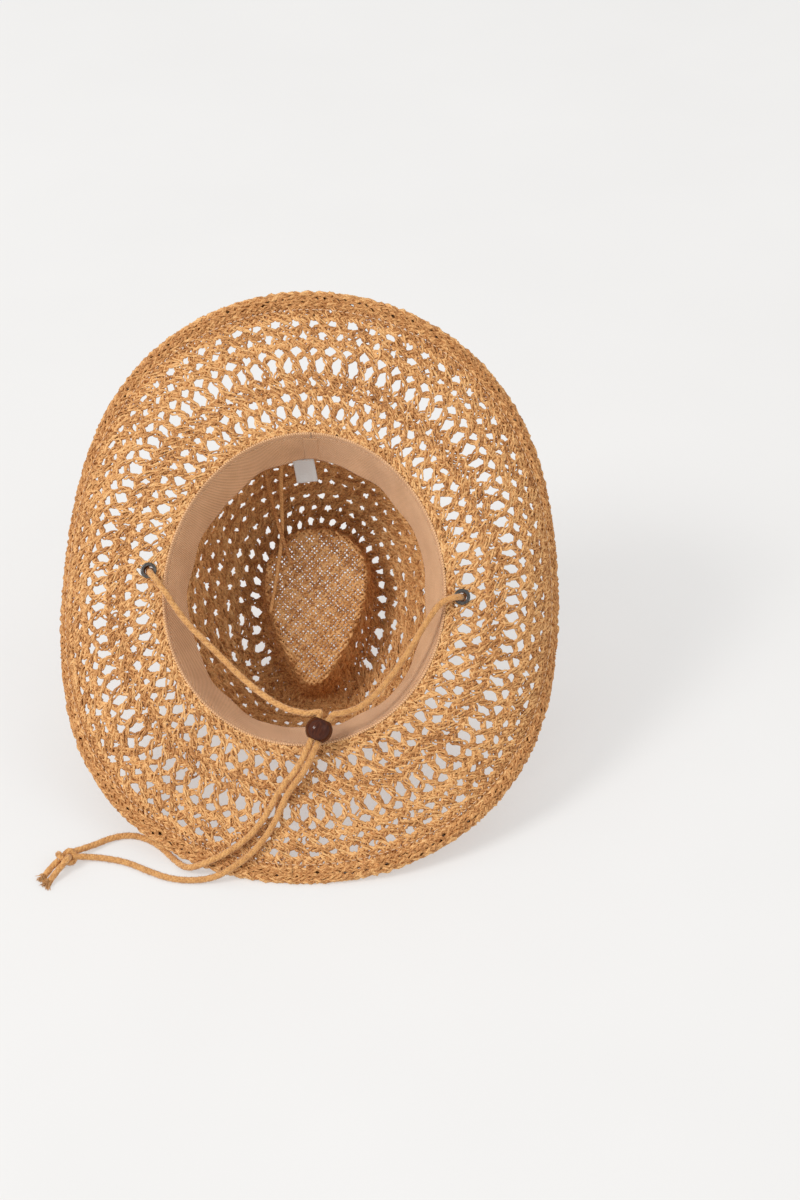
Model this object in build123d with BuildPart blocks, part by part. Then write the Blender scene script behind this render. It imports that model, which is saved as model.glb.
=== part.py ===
"""A woven straw cowboy hat with a chin cord, lying on the floor on its crown and the front of its brim.

All sizes are in millimetres. Two frames are used:
- the hat frame: x to the wearer's right side, y to the front of the hat, z towards the top of the
  crown, with its origin in the middle of the head opening. Most sizes are given in it.
- the row frame: z up, floor at z = 0. The function place() turns the first into the second.
"""

import os
from math import cos, exp, pi, radians, sin, tan

from build123d import *

# ---------------------------------------------------------------- driving dimensions

# head opening (the line where crown, brim and sweatband meet)
opening_half_length = 97.0
opening_half_width = 87.2
opening_egg = 0.04  # how much wider the front half is than the back half

# straw weave and brim
weave_thickness = 2.4
brim_width_front = 82.0
brim_width_side = 86.0
brim_width_back = 87.0
brim_dip_slope = -6.0  # slope of the edge at the front and back, degrees towards the face
brim_curl_slope = 80.0  # slope of the edge at the sides, degrees towards the crown
brim_curl_spread = 2.4  # higher keeps the curl nearer the sides
brim_bend_power = 1.4  # higher keeps the bend nearer the edge
brim_stations = (0.0, 0.12, 0.25, 0.38, 0.5, 0.62, 0.74, 0.84, 0.92, 0.96, 1.0)

# crown rings from the head opening to the floor of the crease:
# height, front, back, half width, egg, blunt nose, pinch
crown_rings = (
    (30.0, 95.5, 96.5, 84.5, 0.03, 0.02, 0.00),
    (60.0, 91.0, 91.5, 77.5, 0.00, 0.05, 0.02),
    (84.0, 84.0, 84.0, 67.5, -0.03, 0.10, 0.05),
    (102.0, 75.5, 74.0, 57.0, -0.05, 0.125, 0.07),
    (112.0, 67.5, 66.0, 48.5, -0.08, 0.125, 0.07),
    (117.0, 59.0, 59.0, 41.0, -0.12, 0.10, 0.06),
    (113.0, 56.0, 54.5, 36.0, -0.25, 0.04, 0.03),
    (102.0, 53.5, 52.0, 33.0, -0.36, 0.02, 0.01),
    (91.0, 51.0, 50.0, 30.5, -0.44, 0.00, 0.00),
)
crown_rake = 0.03  # how much higher the top is at the front than in the middle
pinch_angle = 52.0  # degrees from the front, on each side
pinch_spread = 17.0

# rolled hem with its wire
hem_width = 9.0
hem_thickness = 5.6
hem_bore = 3.4
wire_diameter = 1.6
ferrule_diameter = 2.8
ferrule_bore = 2.1
ferrule_length = 12.0
thread_width = 0.6
thread_thickness = 0.4
hem_stitch_setback = 1.6  # from the hem to its row of stitches

# sweatband
band_height = 29.0
band_thickness = 1.3
band_lean = 11.5  # how far its free edge stands in from the head opening
band_fold = 1.6  # how far its fold reaches below the middle of the weave
band_stitch_height = 3.0
seam_tape_width = 9.0
seam_tape_height = 24.0
seam_tape_thickness = 0.5

# blank care label
label_width = 13.5
label_height = 16.0
label_thickness = 0.6
label_side = -6.0
label_swing_gap = 0.5
label_stitch_length = 10.0

# eyelets
eyelet_angle_left = -94.3  # degrees from the front
eyelet_angle_right = 88.2
eyelet_setback = 9.0
eyelet_diameter = 10.0
eyelet_hole = 6.0
barrel_wall = 0.5
flange_thickness = 0.9
washer_thickness = 0.7
washer_hole = 7.3
lip_diameter = 8.2
lip_thickness = 0.5

# chin cord, its bead and its knots
cord_diameter = 4.0
bead_diameter = 16.5
bead_bore = 9.0
bead_side = 12.8
bead_inside = 10.1  # from the front of the head opening back to the bead
bead_height = -10.0  # below the middle of the weave, towards the face
bead_heading = 20.5  # degrees between the twin cords at the bead and the front
bead_travel = 14.0
twin_spacing = 4.4
stopper_diameter = 8.0
knot_length = 15.0
knot_diameter = 11.5
tail_length = 21.0
bend_share = 0.45

# loose ends of straw inside the crown
straw_width = 2.5
straw_thickness = 0.5
straw_bend = 12.0

# small distances
seat_gap = 0.1  # between pieces that rest on each other
sewn_gap = 0.3  # between soft pieces that are sewn together
floor_gap = 0.1
ring_points = 60
slope_steps = 40

# ---------------------------------------------------------------- the hat's surfaces, in the hat frame

half_weave = weave_thickness / 2


def head_line(angle):
    """Point of the head opening at an angle from the front, in radians."""
    x = opening_half_width * sin(angle) * (1 + opening_egg * cos(angle))
    y = opening_half_length * cos(angle)
    return Vector(x, y, 0)


def outward(angle):
    """Unit vector square to the head line, pointing away from the head."""
    along_x = opening_half_width * (cos(angle) + opening_egg * cos(2 * angle))
    along_y = -opening_half_length * sin(angle)
    return Vector(-along_y, along_x, 0).normalized()


def brim_width(angle):
    end_width = brim_width_front if cos(angle) > 0 else brim_width_back
    return end_width * cos(angle) ** 2 + brim_width_side * sin(angle) ** 2


def brim_slope(angle, share):
    """Slope of the brim, in radians, at a share of the way from the head line to the edge."""
    edge_slope = brim_dip_slope + (brim_curl_slope - brim_dip_slope) * abs(sin(angle)) ** brim_curl_spread
    return radians(edge_slope) * share**brim_bend_power


def brim_point(angle, setback, lift=0.0):
    """Point of the brim, setback along it from the head line and lift above its middle surface."""
    step = setback / slope_steps
    slopes = [brim_slope(angle, (i + 0.5) * step / brim_width(angle)) for i in range(slope_steps)]
    end_slope = brim_slope(angle, setback / brim_width(angle))
    reach = sum(cos(slope) for slope in slopes) * step - sin(end_slope) * lift
    rise = sum(sin(slope) for slope in slopes) * step + cos(end_slope) * lift
    return head_line(angle) + outward(angle) * reach + Vector(0, 0, rise)


def brim_normal(angle, setback):
    return (brim_point(angle, setback, 1.0) - brim_point(angle, setback)).normalized()


def crown_ring_point(ring, angle, inset=0.0, drop=0.0):
    """Point of one crown ring, moved in by inset and down by drop."""
    height, front, back, half_width, egg, blunt, pinch = ring
    nose = (1 + blunt) * cos(angle) - blunt * cos(3 * angle)
    y = (front - inset) * nose if cos(angle) > 0 else (back - inset) * cos(angle)
    x = (half_width - inset) * sin(angle) * (1 + egg * cos(angle))
    from_front = abs((angle + pi) % (2 * pi) - pi)
    dent = pinch * exp(-(((from_front - radians(pinch_angle)) / radians(pinch_spread)) ** 2))
    x, y = x * (1 - dent), y * (1 - dent)
    top = max(ring[0] for ring in crown_rings)
    return Vector(x, y, height - drop + crown_rake * height / top * y)


base_ring = (
    half_weave + seat_gap,
    opening_half_length + weave_thickness,
    opening_half_length + weave_thickness,
    opening_half_width + weave_thickness,
    opening_egg,
    0.0,
    0.0,
)
all_crown_rings = (base_ring,) + crown_rings
ring_angles = [2 * pi * i / ring_points for i in range(ring_points)]

# ---------------------------------------------------------------- the pose on the floor


def hem_centre(angle, lift=0.0):
    return brim_point(angle, brim_width(angle) - hem_width / 2, lift)


def hem_outline(angle):
    """Points round the outside of the hem at one angle."""
    middle = hem_centre(angle)
    up = brim_normal(angle, brim_width(angle) - hem_width / 2)
    out = up.cross(outward(angle)).cross(up).normalized()
    turns = [2 * pi * i / 12 for i in range(12)]
    return [middle + out * (hem_width / 2 * cos(t)) + up * (hem_thickness / 2 * sin(t)) for t in turns]


hem_points = [point for angle in ring_angles for point in hem_outline(angle)]
crown_points = [crown_ring_point(ring, angle) for ring in all_crown_rings for angle in ring_angles]


def lowest(points, lean):
    """How far the points reach towards the floor when the opening leans by this angle."""
    return max(point.Y * sin(lean) + point.Z * cos(lean) for point in points)


# the hat lies on its crown and the front of its brim at once
lean_low, lean_high = radians(20), radians(75)
while lean_high - lean_low > 1e-7:
    lean = (lean_low + lean_high) / 2
    if lowest(hem_points, lean) > lowest(crown_points, lean):
        lean_high = lean
    else:
        lean_low = lean

rest_height = lowest(hem_points, lean)
depths = [point.Z * sin(lean) - point.Y * cos(lean) for point in hem_points + crown_points]
middle_depth = (min(depths) + max(depths)) / 2
hat_plane = Plane(
    origin=(0, -middle_depth, rest_height),
    x_dir=(1, 0, 0),
    z_dir=(0, sin(lean), -cos(lean)),
)


def place(point):
    """A point of the hat frame in the row frame."""
    return hat_plane.from_local_coords(Vector(point))


def turn(direction):
    """A direction of the hat frame in the row frame."""
    return place(direction) - place((0, 0, 0))


# ---------------------------------------------------------------- ring solids


def ring_edge(ring_function):
    """Closed smooth edge through the points that ring_function gives round the hat."""
    return Edge.make_spline([place(ring_function(angle)) for angle in ring_angles], periodic=True)


def ring_solid(ring_functions):
    """Solid ring whose cross-section has one corner for each ring function."""
    edges = [ring_edge(function) for function in ring_functions]
    return Solid(Shell(ruled_strips(edges + edges[:1])))


def ruled_strips(edges):
    return [Face.make_surface_from_curves(first, second) for first, second in zip(edges, edges[1:])]


def brim_ring(share, lift):
    """Ring along the brim, at a share of the way to the hem."""
    return lambda angle: brim_point(angle, share * (brim_width(angle) - hem_width - seat_gap), lift)


def hem_ring(across, lift):
    """Ring inside or round the hem, across and above its middle line."""
    return lambda angle: brim_point(angle, brim_width(angle) - hem_width / 2 + across, lift)


def oval_rings(width, height, corners):
    """Rings round the hem's middle line that make an oval cross-section."""
    turns = [2 * pi * (i + 0.5) / corners for i in range(corners)]
    return [hem_ring(width / 2 * cos(t), height / 2 * sin(t)) for t in turns]


def band_point(angle, height, inset):
    """Point of the sweatband: height above its fold, inset from its outer face."""
    inward = -outward(angle)
    lean_in = band_lean * height / band_height
    return head_line(angle) + inward * (sewn_gap + lean_in + inset) + Vector(0, 0, height - band_fold)


def band_ring(height, inset):
    return lambda angle: band_point(angle, height, inset)


# ---------------------------------------------------------------- eyelet and bead positions

eyelet_angles = {"left": radians(eyelet_angle_left), "right": radians(eyelet_angle_right)}
eyelet_planes = {
    side: Plane(
        origin=place(brim_point(angle, eyelet_setback)),
        x_dir=turn(outward(angle).cross(brim_normal(angle, eyelet_setback))),
        z_dir=turn(brim_normal(angle, eyelet_setback)),
    )
    for side, angle in eyelet_angles.items()
}

bead_centre = Vector(bead_side, opening_half_length - bead_inside, bead_height)
bead_axis = Vector(-sin(radians(bead_heading)), cos(radians(bead_heading)), 0)
bead_across = Vector(-bead_axis.Y, bead_axis.X, 0)

# ---------------------------------------------------------------- straw weave: crown and brim


def crown_shell_edges(thickness):
    """Edges of the crown from its bottom to the crease floor, moved in by a thickness."""
    edges = []
    for index, ring in enumerate(all_crown_rings):
        before = all_crown_rings[max(index - 1, 0)]
        after = all_crown_rings[min(index + 1, len(all_crown_rings) - 1)]
        rise = after[0] - before[0]
        spread = (after[1] + after[2] + after[3] - before[1] - before[2] - before[3]) / 3
        length = (rise**2 + spread**2) ** 0.5
        inset, drop = thickness * rise / length, -thickness * spread / length
        if index == 0:
            inset, drop = thickness, 0.0
        if index == len(all_crown_rings) - 1:
            inset, drop = -thickness / 2, thickness
        edges.append(
            ring_edge(lambda angle, r=ring, i=inset, d=drop: crown_ring_point(r, angle, i, d))
        )
    return edges


crown_outside = crown_shell_edges(0.0)
crown_inside = crown_shell_edges(weave_thickness)
crown_faces = (
    ruled_strips(crown_outside)
    + ruled_strips(crown_inside)
    + ruled_strips([crown_outside[0], crown_inside[0]])
    + [Face(Wire([crown_outside[-1]])), Face(Wire([crown_inside[-1]]))]
)

with BuildPart() as crown_weave:
    add(Solid(Shell(crown_faces)))
crown_weave.part.label = "crown_weave"

brim_rings = [brim_ring(share, half_weave) for share in brim_stations]
brim_rings += [brim_ring(share, -half_weave) for share in reversed(brim_stations)]

with BuildPart() as brim_weave:
    add(ring_solid(brim_rings))
    for eyelet_plane in eyelet_planes.values():
        with Locations(eyelet_plane):
            Cylinder(washer_hole / 2, 4 * weave_thickness, mode=Mode.SUBTRACT)
brim_weave.part.label = "brim_weave"

# ---------------------------------------------------------------- hem, wire, ferrule and stitching

with BuildPart() as brim_hem:
    add(ring_solid(oval_rings(hem_width, hem_thickness, corners=12)))
    add(ring_solid(oval_rings(hem_bore, hem_bore, corners=8)), mode=Mode.SUBTRACT)
brim_hem.part.label = "brim_hem"

with BuildPart() as brim_wire:
    add(ring_solid(oval_rings(wire_diameter, wire_diameter, corners=8)))
brim_wire.part.label = "brim_wire"

ferrule_plane = Plane(
    origin=place(hem_centre(pi)),
    x_dir=turn(brim_normal(pi, brim_width(pi))),
    z_dir=(1, 0, 0),
)
with BuildPart() as wire_ferrule:
    with BuildSketch(ferrule_plane):
        Circle(ferrule_diameter / 2)
        Circle(ferrule_bore / 2, mode=Mode.SUBTRACT)
    extrude(amount=ferrule_length / 2, both=True)
wire_ferrule.part.label = "wire_ferrule"

hem_stitch_near = -hem_width / 2 - hem_stitch_setback
hem_stitch_far = hem_stitch_near - thread_width
stitch_low = half_weave + seat_gap
stitch_high = stitch_low + thread_thickness

with BuildPart() as hem_stitching:
    for face_side in (1, -1):
        add(
            ring_solid(
                [
                    hem_ring(hem_stitch_near, face_side * stitch_low),
                    hem_ring(hem_stitch_near, face_side * stitch_high),
                    hem_ring(hem_stitch_far, face_side * stitch_high),
                    hem_ring(hem_stitch_far, face_side * stitch_low),
                ]
            )
        )
hem_stitching.part.label = "hem_stitching"

# ---------------------------------------------------------------- sweatband, its stitching and its seam

with BuildPart() as sweatband:
    add(
        ring_solid(
            [
                band_ring(0, 0),
                band_ring(band_height, 0),
                band_ring(band_height, band_thickness),
                band_ring(0, band_thickness),
            ]
        )
    )
sweatband.part.label = "sweatband"

band_face = band_thickness + seat_gap
with BuildPart() as sweatband_stitching:
    add(
        ring_solid(
            [
                band_ring(band_stitch_height, band_face),
                band_ring(band_stitch_height + thread_width, band_face),
                band_ring(band_stitch_height + thread_width, band_face + thread_thickness),
                band_ring(band_stitch_height, band_face + thread_thickness),
            ]
        )
    )
sweatband_stitching.part.label = "sweatband_stitching"

# the seam tape stands on the inside of the band at the back, above the row of stitches
tape_low = band_stitch_height + 2 * thread_width
tape_bottom = band_point(pi, tape_low, band_thickness + sewn_gap)
tape_top = band_point(pi, tape_low + seam_tape_height, band_thickness + sewn_gap)
tape_up = (tape_top - tape_bottom).normalized()
tape_plane = Plane(origin=place(tape_bottom), x_dir=(1, 0, 0), z_dir=turn(Vector(1, 0, 0).cross(tape_up)))
with BuildPart() as sweatband_seam_tape:
    with BuildSketch(tape_plane):
        with Locations((0, seam_tape_height / 2)):
            Rectangle(seam_tape_width, seam_tape_height)
    extrude(amount=-seam_tape_thickness)
sweatband_seam_tape.part.label = "sweatband_seam_tape"

# ---------------------------------------------------------------- blank care label, hanging from the band

label_edge = place(band_point(pi, band_height, band_thickness))
label_top = Vector(label_side, label_edge.Y + label_thickness / 2 + sewn_gap, label_edge.Z - label_swing_gap)
with BuildPart() as care_label:
    with Locations(label_top):
        Box(label_width, label_thickness, label_height, align=(Align.CENTER, Align.CENTER, Align.MAX))
care_label.part.label = "care_label"

with BuildPart() as label_stitching:
    with Locations(label_top + Vector(0, 0, label_thickness / 2 + seat_gap)):
        Box(
            label_stitch_length,
            label_thickness,
            thread_thickness,
            align=(Align.CENTER, Align.CENTER, Align.MIN),
        )
label_stitching.part.label = "label_stitching"

# ---------------------------------------------------------------- eyelets and washers

barrel_radius = eyelet_hole / 2 + barrel_wall
eyelets = {}
washers = {}
for side, eyelet_plane in eyelet_planes.items():
    face_plane = eyelet_plane.offset(-half_weave - sewn_gap)
    washer_plane = eyelet_plane.offset(half_weave + sewn_gap)
    lip_plane = washer_plane.offset(washer_thickness + seat_gap)
    barrel_length = weave_thickness + 2 * sewn_gap + washer_thickness + seat_gap

    with BuildPart() as eyelet:
        with BuildSketch(face_plane):
            Circle(eyelet_diameter / 2)
        extrude(amount=-flange_thickness)
        fillet(eyelet.faces().sort_by(Axis(face_plane.origin, -face_plane.z_dir))[-1].edges(), flange_thickness * 0.6)
        with BuildSketch(face_plane):
            Circle(barrel_radius)
        extrude(amount=barrel_length)
        with BuildSketch(lip_plane):
            Circle(lip_diameter / 2)
        extrude(amount=lip_thickness)
        with Locations(eyelet_plane):
            Cylinder(eyelet_hole / 2, 4 * barrel_length, mode=Mode.SUBTRACT)
    eyelet.part.label = "eyelet_" + side
    eyelets[side] = eyelet

    with BuildPart() as washer:
        with BuildSketch(washer_plane):
            Circle(eyelet_diameter / 2)
            Circle(washer_hole / 2, mode=Mode.SUBTRACT)
        extrude(amount=washer_thickness)
    washer.part.label = "eyelet_washer_" + side
    washers[side] = washer

# ---------------------------------------------------------------- chin bead

with BuildPart() as chin_bead:
    with Locations(Plane(origin=place(bead_centre), z_dir=turn(bead_axis))):
        Sphere(bead_diameter / 2)
        Cylinder(bead_bore / 2, 2 * bead_diameter, mode=Mode.SUBTRACT)
chin_bead.part.label = "chin_bead"

# ---------------------------------------------------------------- chin cords, from the eyelets to the end knot


def inside(side_share, front_share, height):
    """A point over the head opening, as shares of its half width and half length."""
    return place((side_share * opening_half_width, front_share * opening_half_length, height))


def on_brim(angle, share, lift):
    """A point on the face side of the brim, a share of the way out, lift above the middle surface."""
    return place(brim_point(radians(angle), share * brim_width(radians(angle)), -lift))


def beside_bead(along, across):
    """A point of the straight run through the bead."""
    return place(bead_centre + bead_axis * along + bead_across * across)


def on_floor(side_share, depth_share, lift=0.0):
    """A point on the floor, as shares of the hat's half width and of the brim's front edge."""
    half_width = opening_half_width + brim_width_side
    front_edge = place(hem_centre(0)).Y
    return Vector(side_share * half_width, depth_share * front_edge, cord_diameter / 2 + floor_gap + lift)


washer_top = half_weave + sewn_gap + washer_thickness + seat_gap + lip_thickness + seat_gap
eyelet_exits = {
    side: [
        eyelet_plane.offset(washer_top + stopper_diameter / 2).origin,
        eyelet_plane.offset(-6.6).origin,
    ]
    for side, eyelet_plane in eyelet_planes.items()
}
run_start = -bead_diameter / 2 - 3
run_end = bead_diameter / 2 + bead_travel + 2.5
half_spacing = twin_spacing / 2
knot_centre = on_floor(-0.80, 0.945, knot_diameter / 2 - cord_diameter / 2)
knot_heading = Vector(-0.55, -0.83, 0).normalized()
knot_across = Vector(-knot_heading.Y, knot_heading.X, 0)
knot_back = knot_centre - knot_heading * (knot_length / 4)

left_route = eyelet_exits["left"] + [
    inside(-0.985, 0.03, -7.0),
    inside(-0.83, 0.23, -4.5),
    inside(-0.61, 0.41, -2.5),
    inside(-0.37, 0.59, -2.5),
    inside(-0.14, 0.715, -6.0),
    inside(0.04, 0.742, -9.0),
    inside(0.13, 0.745, -10.0),
    beside_bead(run_start, half_spacing),
    beside_bead(run_end, half_spacing),
    on_brim(-4.6, 0.31, 6.2),
    on_brim(-7.6, 0.55, 4.2),
    on_brim(-10.6, 0.72, 4.2),
    on_brim(-13.8, 0.85, 5.4),
    on_brim(-17.0, 0.96, 6.3),
    on_floor(-0.37, 0.985, 2.2),
    on_floor(-0.425, 0.90),
    on_floor(-0.49, 0.79),
    on_floor(-0.575, 0.725),
    on_floor(-0.655, 0.745),
    on_floor(-0.725, 0.83, 1.0),
    knot_back - knot_across * half_spacing,
]
right_route = eyelet_exits["right"] + [
    inside(0.97, 0.06, -7.0),
    inside(0.87, 0.185, -4.5),
    inside(0.76, 0.36, -2.0),
    inside(0.62, 0.56, -2.5),
    inside(0.45, 0.705, -6.0),
    inside(0.30, 0.745, -9.0),
    beside_bead(run_start, -half_spacing),
    beside_bead(run_end, -half_spacing),
    on_brim(-2.6, 0.345, 6.0),
    on_brim(-5.2, 0.60, 4.2),
    on_brim(-8.6, 0.81, 4.6),
    on_brim(-12.0, 0.955, 6.3),
    on_floor(-0.275, 1.035, 1.6),
    on_floor(-0.35, 1.045),
    on_floor(-0.43, 1.035),
    on_floor(-0.51, 0.985),
    on_floor(-0.59, 0.925),
    on_floor(-0.68, 0.90),
    on_floor(-0.735, 0.905, 1.0),
    knot_back + knot_across * half_spacing,
]
tail_end = knot_centre + knot_heading * (knot_length / 2 + tail_length)
tail_end.Z = cord_diameter / 2 + floor_gap


def bend_radii(route):
    """Radius of each bend: a fixed share of its shorter run, over the tangent of half the turn."""
    radii = []
    for before, corner, after in zip(route, route[1:], route[2:]):
        first, second = corner - before, after - corner
        half_turn = radians(first.get_angle(second)) / 2
        radii.append(bend_share * min(first.length, second.length) / tan(half_turn))
    return radii


# the end knot is an oval turned about its long axis
with BuildPart() as end_knot:
    with BuildSketch(Plane(origin=knot_centre, x_dir=knot_heading, z_dir=(0, 0, 1))):
        Ellipse(knot_length / 2, knot_diameter / 2)
        with Locations((0, -knot_diameter)):
            Rectangle(2 * knot_length, 2 * knot_diameter, mode=Mode.SUBTRACT)
    revolve(axis=Axis(knot_centre, knot_heading))
end_knot.part.label = "end_knot"

stopper_knots = {}
for side, exit_points in eyelet_exits.items():
    with BuildPart() as stopper_knot:
        with Locations(exit_points[0]):
            Sphere(stopper_diameter / 2)
    stopper_knot.part.label = "stopper_knot_" + side
    stopper_knots[side] = stopper_knot

cords = {}
for side, route in (("left", left_route), ("right", right_route)):
    radii = bend_radii(route)
    with BuildPart() as chin_cord:
        with BuildLine() as cord_path:
            FilletPolyline(*route, radius=radii)
        with BuildSketch(Plane(origin=cord_path.line @ 0, z_dir=cord_path.line % 0)):
            Circle(cord_diameter / 2)
        sweep()
        swept_volume = chin_cord.part.volume
        add(end_knot, mode=Mode.SUBTRACT)
        add(stopper_knots[side], mode=Mode.SUBTRACT)
    chin_cord.part.label = "chin_cord_" + side
    cords[side] = chin_cord
    cord_length = sum(edge.length for edge in cord_path.edges())
    section = pi * cord_diameter**2 / 4
    print("chin cord", side, "length", round(cord_length, 1))
    print("  volume over section times length", round(swept_volume / section / cord_length, 4))
    print("  bend radii", [round(radius, 1) for radius in radii])

with BuildPart() as cord_tails:
    for side_sign, shortening in ((1, 0.0), (-1, 3.5)):
        beside = knot_across * side_sign * (half_spacing + seat_gap)
        start = knot_centre + knot_heading * (knot_length / 4) + beside
        end = tail_end + beside - knot_heading * shortening
        with BuildLine() as tail_path:
            Line(start, end)
        with BuildSketch(Plane(origin=tail_path.line @ 0, z_dir=tail_path.line % 0)):
            Circle(cord_diameter / 2)
        sweep()
    add(end_knot, mode=Mode.SUBTRACT)
cord_tails.part.label = "cord_tails"

# ---------------------------------------------------------------- loose ends of straw inside the crown

# each straw starts on the back wall of the crown and reaches over the crease floor
straw_routes = (
    (inside(-0.38, -0.862, 36.0), inside(-0.335, -0.70, 60.0), inside(-0.285, -0.50, 81.0), inside(-0.18, -0.27, 83.5)),
    (inside(-0.235, -0.92, 33.0), inside(-0.265, -0.71, 66.0), inside(-0.25, -0.43, 85.5), inside(-0.33, 0.06, 87.0)),
)
with BuildPart() as loose_straws:
    for straw_route in straw_routes:
        with BuildLine() as straw_path:
            FilletPolyline(*straw_route, radius=straw_bend)
        with BuildSketch(Plane(origin=straw_path.line @ 0, x_dir=(1, 0, 0), z_dir=straw_path.line % 0)):
            Rectangle(straw_width, straw_thickness)
        sweep()
loose_straws.part.label = "loose_straws"

# ---------------------------------------------------------------- export

nodes = [
    crown_weave,
    brim_weave,
    brim_hem,
    brim_wire,
    wire_ferrule,
    hem_stitching,
    sweatband,
    sweatband_stitching,
    sweatband_seam_tape,
    care_label,
    label_stitching,
    *eyelets.values(),
    *washers.values(),
    chin_bead,
    *cords.values(),
    cord_tails,
    end_knot,
    *stopper_knots.values(),
    loose_straws,
]

os.makedirs("parts", exist_ok=True)
for node in nodes:
    export_step(node.part, "parts/" + node.part.label + ".step")

print("lean of the opening", round(lean * 180 / pi, 2), "height of its middle", round(rest_height, 2))
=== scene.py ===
"""Looks of a woven straw cowboy hat that lies on the floor on its crown, with its chin cord.

The straw is built as real strands that are swept over the hat's surfaces. All sizes are in metres.
Surface functions work in the hat frame (x to the wearer's right, y to the front, z to the top of the
crown, origin in the middle of the head opening), and place() turns it into the row frame.
"""

import bpy
import numpy as np
from mathutils import Matrix, Vector


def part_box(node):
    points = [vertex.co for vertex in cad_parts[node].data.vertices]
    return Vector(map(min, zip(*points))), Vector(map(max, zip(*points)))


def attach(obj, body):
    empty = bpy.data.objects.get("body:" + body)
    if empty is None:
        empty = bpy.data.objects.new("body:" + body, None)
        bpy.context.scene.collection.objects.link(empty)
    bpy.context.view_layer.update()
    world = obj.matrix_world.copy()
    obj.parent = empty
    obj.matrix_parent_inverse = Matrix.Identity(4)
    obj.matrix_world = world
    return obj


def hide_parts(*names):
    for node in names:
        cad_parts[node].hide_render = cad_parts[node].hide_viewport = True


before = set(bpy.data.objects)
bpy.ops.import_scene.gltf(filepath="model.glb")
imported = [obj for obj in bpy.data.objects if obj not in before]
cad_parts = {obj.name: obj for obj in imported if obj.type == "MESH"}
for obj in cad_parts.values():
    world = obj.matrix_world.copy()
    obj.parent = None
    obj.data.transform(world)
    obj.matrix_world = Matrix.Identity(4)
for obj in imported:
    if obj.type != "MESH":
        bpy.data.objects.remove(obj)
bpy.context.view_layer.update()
random = np.random.default_rng(7)

# ---------------------------------------------------------------- driving dimensions

# pose of the hat on the floor
lean = np.radians(46.29344)
rest_height = 0.1275221
rest_depth = 0.0007168

# head opening, brim and hem
opening_half_length = 0.097
opening_half_width = 0.0872
opening_egg = 0.04
brim_width_front = 0.082
brim_width_side = 0.086
brim_width_back = 0.087
brim_dip_slope = -6.0
brim_curl_slope = 80.0
brim_curl_spread = 2.4
brim_bend_power = 1.4
hem_width = 0.009
hem_thickness = 0.0056
weave_thickness = 0.0024

# crown rings: height, front, back, half width, egg, blunt nose, pinch
crown_rings = np.array(
    (
        (0.0013, 0.0994, 0.0994, 0.0896, 0.04, 0.0, 0.00),
        (0.030, 0.0955, 0.0965, 0.0845, 0.03, 0.02, 0.00),
        (0.060, 0.0910, 0.0915, 0.0775, 0.00, 0.05, 0.02),
        (0.084, 0.0840, 0.0840, 0.0675, -0.03, 0.10, 0.05),
        (0.102, 0.0755, 0.0740, 0.0570, -0.05, 0.125, 0.07),
        (0.112, 0.0675, 0.0660, 0.0485, -0.08, 0.125, 0.07),
        (0.117, 0.0590, 0.0590, 0.0410, -0.12, 0.10, 0.06),
        (0.113, 0.0560, 0.0545, 0.0360, -0.25, 0.04, 0.03),
        (0.102, 0.0535, 0.0520, 0.0330, -0.36, 0.02, 0.01),
        (0.091, 0.0510, 0.0500, 0.0305, -0.44, 0.00, 0.00),
    )
)
crown_rake = 0.03
pinch_angle = np.radians(52.0)
pinch_spread = np.radians(17.0)

# sweatband, its stitches and its label
band_height = 0.029
band_thickness = 0.0013
band_lean = 0.0115
band_fold = 0.0016
band_gap = 0.0003
band_stitch_height = 0.003
stitch_line = band_stitch_height + 0.0003
label_top = Vector((-0.006, 0.079396, 0.16824))
label_width = 0.0135
label_height = 0.016
label_tilt = np.radians(8.0)
label_tuck = 0.0013
label_thickness = 0.0005
label_bulge = 0.0007
seam_tape_width = 0.009
seam_tape_thickness = 0.0004

# straw strands, and how far straw and everything that is swept stay off the floor
strand_width = 0.0018
strand_thickness = 0.0011
straw_clearance = 0.0011
sweep_clearance = 0.0001

# ribs: bundles of strands that run outwards, with their unevenness
rib_step = 0.0012
rib_overrun = 0.002
rib_lay = 0.0125
rib_depth = 0.00075
rib_turns_per_metre = 70.0
rib_wander = 0.0007
rib_phase_noise = 0.55
rib_shift_noise = 0.0003
rib_lift_noise = 0.0002
rib_width_noise = 0.18
straight_share = 0.45

# twined rows: two strands twisted round each other that go round the hat, with their unevenness
ply_radius = 0.0009
ply_width = 0.0020
ply_thickness = 0.0013
ply_flatness = 0.8
ply_turns_per_metre = 60.0
samples_per_twist = 7
twist_length = 0.0056
row_pitch = 0.0021
row_lift = 0.0002
row_wander = 0.0005
row_phase_wander = 1.3
row_lift_wander = 0.0003
row_width_noise = 0.22
lens_bend = 0.0009
lens_reach = 0.0022

# plaited hem
hem_rows = 11
hem_twists = 130
hem_inset_across = 0.0007
hem_inset_above = 0.0006
hem_ply_radius = 0.00075
hem_ply_width = 0.0025
hem_section_radius = 0.0033
hem_phase_wander = 1.4
hem_width_noise = 0.25

# weave on the floor of the crease
tip_pitch = 0.0023
tip_strand_width = 0.00235
tip_strand_thickness = 0.0011
tip_slants = (np.radians(48), np.radians(-42))
tip_weave_height = 0.0004
tip_sway = 0.00018
tip_width_noise = 0.10

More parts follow.
